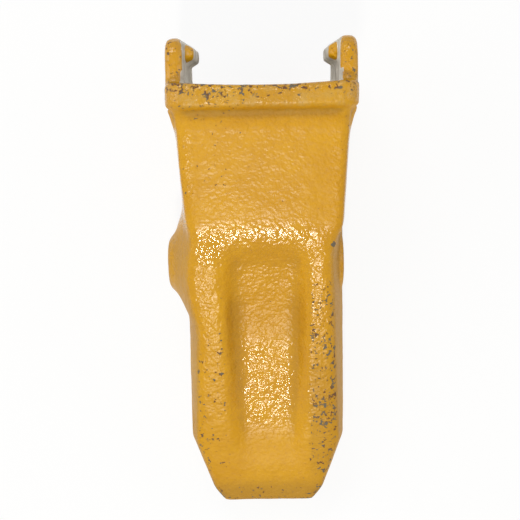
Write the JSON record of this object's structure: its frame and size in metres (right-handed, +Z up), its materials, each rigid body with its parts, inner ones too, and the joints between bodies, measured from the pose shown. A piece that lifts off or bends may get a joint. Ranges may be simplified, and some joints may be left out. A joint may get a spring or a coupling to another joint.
{
  "type": "bucket tooth",
  "caption": "Cast tooth for an excavator bucket: wedge socket with a collar and ears, side pin hole with a boss, ribbed chisel blade, worn yellow paint.",
  "frame": {"origin": "on the ground under the middle of the tooth's box, with the tooth lying on its underside", "axes": "+Z up, +Y back towards the ears and the mouth of the socket, +X across, away from the boss; the tip points to -Y"},
  "size_m": [0.1124, 0.287, 0.102],
  "materials": {
    "painted_casting": "glossy yellow enamel over a rough cast skin, chipped at the edges"
  },
  "bodies": {
    "root": {"bucket_tooth": "painted_casting"}
  },
  "joints": []
}
